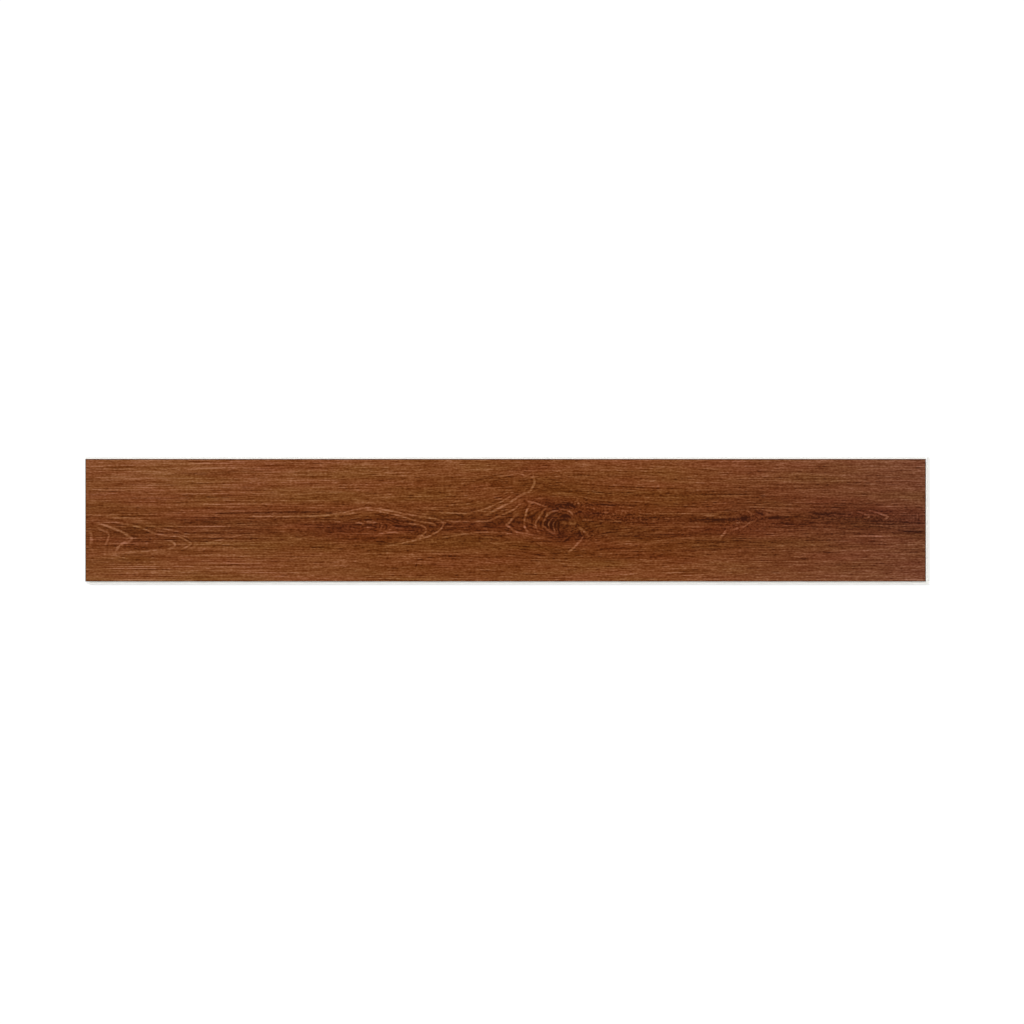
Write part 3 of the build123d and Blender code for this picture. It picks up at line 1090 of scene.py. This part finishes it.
@dataclass
class Plank:
    """The plank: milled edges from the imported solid, with a pressed and printed face set into them.

    The face's grid has so many columns and rows, and its columns crowd where lines run across. The level
    of the face, the foot of its bevels and the sides inside them are read from the solid, in metres.
    """

    solid: Object
    figure: OakFigure
    columns: int = 440
    rows: int = 204
    crowding: float = 1.2
    crowding_samples: int = 6001
    crease: float = math.radians(20)
    touch: float = 1e-6
    top: float = field(init=False)
    bevel_foot: float = field(init=False)
    left: float = field(init=False)
    right: float = field(init=False)
    near: float = field(init=False)
    far: float = field(init=False)

    def build(self) -> Object:
        """Build the whole piece with its finishes.

        Returns:
            The finished object.
        """
        shape = self.milled_body()
        self.set_in_face(shape)
        mesh = bpy.data.meshes.new(f"{NODE}_dressed")
        shape.to_mesh(mesh)
        shape.free()
        oak = PrintedOak()
        for finish in (BevelPaint(), StoneCore(), CalenderedBack(), oak):
            mesh.materials.append(finish.material())
        self.carry_figure(mesh)
        piece = bpy.data.objects.new(f"{NODE}_dressed", mesh)
        bpy.context.scene.collection.objects.link(piece)
        Pressing(oak.grain).press(piece, mesh.materials[FacePart.DECOR.value])
        self.shade_creases(piece.data)
        LOG.info("%s: %d faces, %d points", piece.name, len(piece.data.polygons), len(piece.data.vertices))
        return piece

    def milled_body(self) -> bmesh.types.BMesh:
        """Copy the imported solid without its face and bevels, with its loose triangles merged.

        Returns:
            Open body.
        """
        shape = bmesh.new()
        shape.from_mesh(self.solid.data)
        bmesh.ops.remove_doubles(shape, verts=shape.verts, dist=self.touch)
        heights = sorted({round(v.co.z, 6) for v in shape.verts})
        self.top, self.bevel_foot = heights[-1], heights[-2]
        flat = [v.co for v in shape.verts if v.co.z > self.top - self.touch]
        self.left, self.right = min(c.x for c in flat), max(c.x for c in flat)
        self.near, self.far = min(c.y for c in flat), max(c.y for c in flat)
        upper = [f for f in shape.faces if all(v.co.z > self.bevel_foot - self.touch for v in f.verts)]
        bmesh.ops.delete(shape, geom=upper, context="FACES")
        for face in shape.faces:
            level = all(v.co.z < self.touch for v in face.verts)
            face.material_index = (FacePart.BACK if level else FacePart.EDGE).value
        return shape

    def set_in_face(self, shape: bmesh.types.BMesh) -> None:
        """Add the face's grid and join it to the body with four bevels.

        Args:
            shape: Open body, which is changed.
        """
        foot = [v for v in shape.verts if v.is_boundary and v.co.z > self.bevel_foot - self.touch]
        xs = self.column_places()
        ys = np.linspace(self.near, self.far, self.rows + 1)
        grid = [[shape.verts.new((x, y, self.top)) for x in xs] for y in ys]
        for low, high in zip(grid, grid[1:]):
            for a, b, c, d in zip(low, low[1:], high[1:], high):
                face = shape.faces.new((a, b, c, d))
                face.material_index = FacePart.DECOR.value
        sides = (
            (grid[0], 1, min, 0), ([row[-1] for row in grid], 0, max, 1),
            (grid[-1][::-1], 1, max, 0), ([row[0] for row in grid][::-1], 0, min, 1),
        )
        for rim, axis, pick, along in sides:
            edge = pick(v.co[axis] for v in foot)
            outer = [v for v in foot if abs(v.co[axis] - edge) < self.touch]
            forward = rim[-1].co[along] > rim[0].co[along]
            outer.sort(key=lambda v: v.co[along], reverse=not forward)
            bevel = shape.faces.new([*outer, *reversed(rim)])
            bevel.material_index = FacePart.BEVEL.value
        bmesh.ops.recalc_face_normals(shape, faces=shape.faces)

    def column_places(self) -> np.ndarray:
        """Places of the grid's columns, closer together where the figure's lines run across the plank.

        Returns:
            Places along the plank in metres.
        """
        fine = np.linspace(self.left, self.right, self.crowding_samples)
        density = 1 + self.crowding * self.figure.crossing(fine / MM)
        share = np.concatenate([[0.0], np.cumsum((density[1:] + density[:-1]) / 2)])
        return np.interp(np.linspace(0, share[-1], self.columns + 1), share, fine)

    def carry_figure(self, mesh: Mesh) -> None:
        """Store the figure's fields on the mesh's points.

        Args:
            mesh: Mesh with the face's grid.
        """
        places = np.empty(len(mesh.vertices) * 3, np.float32)
        mesh.vertices.foreach_get("co", places)
        x, y, z = places.reshape(-1, 3).astype(float).T / MM
        left, right, near, far, top = np.array([self.left, self.right, self.near, self.far, self.top]) / MM
        inside = np.minimum(np.minimum(x - left, right - x), np.minimum(y - near, far - y))
        rim = np.where(z > top - self.touch / MM, inside, 0.0)
        for name, values in self.figure.fields(x, y, rim).items():
            layer = mesh.attributes.new(name.value, "FLOAT", "POINT")
            layer.data.foreach_set("value", values.astype(np.float32))

    def shade_creases(self, mesh: Mesh) -> None:
        """Shade smoothly, with sharp creases where the cutters left them."""
        mesh.shade_smooth()
        mesh.set_sharp_from_angle(angle=self.crease)


@dataclass(frozen=True)
class StudioFloor(Finish):
    """Matt white sweep that the plank lies on. It looks white and keeps the plank's shadow."""

    name: str = "matt_white_studio_sweep"
    roughness: float = 0.9
    specular: float = 0.0
    paint: str = "#E2E2E2"
    glow: float = 0.28

    def look(self, tree: NodeTree) -> tuple[tuple[float, ...], None]:
        """Plain paint, smooth."""
        return linear(self.paint), None

    def surface(self, tree: NodeTree, shader: Node) -> Node:
        """Add a little glow for the camera and reflections alone.

        Args:
            tree: Shader node tree.
            shader: Shader of the paint.

        Returns:
            Node that adds the glow to the paint.
        """
        ray = add_node(tree, "ShaderNodeLightPath").outputs
        seen: Value = ray["Is Camera Ray"]
        for other in ("Is Glossy Ray", "Is Transmission Ray"):
            seen = add_node(tree, "ShaderNodeMath", {0: seen, 1: ray[other]}, operation="MAXIMUM")
        strength = add_node(tree, "ShaderNodeMath", {0: seen, 1: self.glow}, operation="MULTIPLY")
        glow = add_node(tree, "ShaderNodeEmission", {"Color": (1, 1, 1, 1), "Strength": strength})
        return add_node(tree, "ShaderNodeAddShader", {0: shader, 1: glow})


@dataclass(frozen=True)
class SoftLamp:
    """Far soft lamp: where its light comes from in degrees, its share of the light, and its spread.

    The distance, in metres, is only where its holder stands.
    """

    name: str
    azimuth: float
    elevation: float
    share: float
    spread: float
    distance: float = 3.0

    def hang(self) -> None:
        """Add the lamp. It makes no glare on the lacquer, as crossed filters see to in copy work."""
        turn, rise = math.radians(self.azimuth), math.radians(self.elevation)
        way = Vector((math.cos(turn) * math.cos(rise), math.sin(turn) * math.cos(rise), math.sin(rise)))
        data = bpy.data.lights.new(self.name, "SUN")
        data.angle = math.radians(self.spread)
        data.energy = self.share * math.pi / way.z
        holder = bpy.data.objects.new(self.name, data)
        holder.location = way * self.distance
        holder.rotation_euler = (-way).to_track_quat("-Z", "Y").to_euler()
        holder.visible_glossy = False
        bpy.context.scene.collection.objects.link(holder)


@dataclass
class Studio:
    """Plain studio: a white sweep, an even sky and soft lamps. The light on a level face adds up to 1.

    Reflections see white walls up to wall_top and a dark ceiling from ceiling_foot on, both given as the
    height of the direction, from 0 for level to 1 for straight up.
    """

    floor_half: float = 40.0
    sky: float = 0.5
    ceiling: float = 0.05
    wall_top: float = 0.1
    ceiling_foot: float = 0.5
    lamps: tuple[SoftLamp, ...] = (
        SoftLamp("overhead_lamp", 90.0, 88.0, 0.28, 50.0),
        SoftLamp("key_lamp", 112.0, 50.0, 0.22, 14.0),
    )

    def build(self) -> Object:
        """Build floor, sky and lamps.

        Returns:
            The floor.
        """
        mesh = bpy.data.meshes.new("studio_floor")
        far = self.floor_half
        corners = [(-far, -far, 0), (far, -far, 0), (far, far, 0), (-far, far, 0)]
        mesh.from_pydata(corners, [], [(0, 1, 2, 3)])
        mesh.materials.append(StudioFloor().material())
        floor = bpy.data.objects.new("studio_floor", mesh)
        bpy.context.scene.collection.objects.link(floor)
        self.build_sky()
        for lamp in self.lamps:
            lamp.hang()
        LOG.info("studio: %d lamps", len(self.lamps))
        return floor

    def build_sky(self) -> None:
        """Light all round evenly, and look white to the camera."""
        world = bpy.data.worlds.new("even_sky")
        world.use_nodes = True
        tree = world.node_tree
        tree.nodes.clear()
        ray = add_node(tree, "ShaderNodeLightPath").outputs
        direction = add_node(tree, "ShaderNodeTexCoord").outputs["Generated"]
        height = add_node(tree, "ShaderNodeSeparateXYZ", {0: direction}).outputs["Z"]
        walls = add_node(
            tree, "ShaderNodeMapRange",
            {"Value": height, "From Min": self.wall_top, "From Max": self.ceiling_foot,
             "To Min": 1.0, "To Max": self.ceiling},
        )
        glossy = add_node(
            tree, "ShaderNodeMix", {"Factor": ray["Is Glossy Ray"], "A": self.sky, "B": walls},
        )
        clear = add_node(
            tree, "ShaderNodeMath", {0: ray["Is Camera Ray"], 1: ray["Is Transmission Ray"]},
            operation="MAXIMUM",
        )
        strength = add_node(tree, "ShaderNodeMix", {"Factor": clear, "A": glossy, "B": 1.0})
        light = add_node(tree, "ShaderNodeBackground", {"Color": (1, 1, 1, 1), "Strength": strength})
        add_node(tree, "ShaderNodeOutputWorld", {"Surface": light})
        # An even sky needs no map of where it is bright
        world.cycles.sampling_method = "NONE"
        bpy.context.scene.world = world


@dataclass
class ScanCamera:
    """Camera straight above the plank, with a long lens, framed as the photograph is.

    The lens and the sensor are in millimetres, and sight is how far the camera sees, in metres.
    """

    lens: float = 120.0
    sensor: float = 36.0
    sight: float = 100.0
    frame_px: float = 1024.0
    face_length_px: float = 840.5
    face_middle_px: tuple[float, float] = (505.6, 520.2)

    def build(self, face_length: float, face_height: float) -> None:
        """Place the camera so that the face has its size and place in the photograph.

        Args:
            face_length: Length of the decor face in metres.
            face_height: Height of the decor face above the floor.
        """
        data = bpy.data.cameras.new("scan_camera")
        data.lens, data.sensor_width, data.clip_end = self.lens, self.sensor, self.sight
        metres_per_px = face_length / self.face_length_px
        middle = self.frame_px / 2
        across = (middle - self.face_middle_px[0]) * metres_per_px
        up = (self.face_middle_px[1] - middle) * metres_per_px
        distance = self.frame_px * metres_per_px * self.lens / self.sensor
        camera = bpy.data.objects.new("scan_camera", data)
        camera.location = (across, up, face_height + distance)
        bpy.context.scene.collection.objects.link(camera)
        bpy.context.scene.camera = camera
        LOG.info("camera: %.3f m above the face", distance)


def main() -> None:
    """Build the dressed plank, the studio and the camera in order."""
    logging.basicConfig(level=logging.INFO, format="%(message)s")
    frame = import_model()
    plank = Plank(frame["nodes"][NODE], OakFigure())
    piece = plank.build()
    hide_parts(NODE)
    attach(piece, "root")
    Studio().build()
    bevel_width = plank.left - min(v.co.x for v in frame["nodes"][NODE].data.vertices)
    ScanCamera().build(plank.right - plank.left + 2 * bevel_width, plank.top)
    bpy.context.scene.view_settings.view_transform = "Standard"


if __name__ == "__main__":
    main()
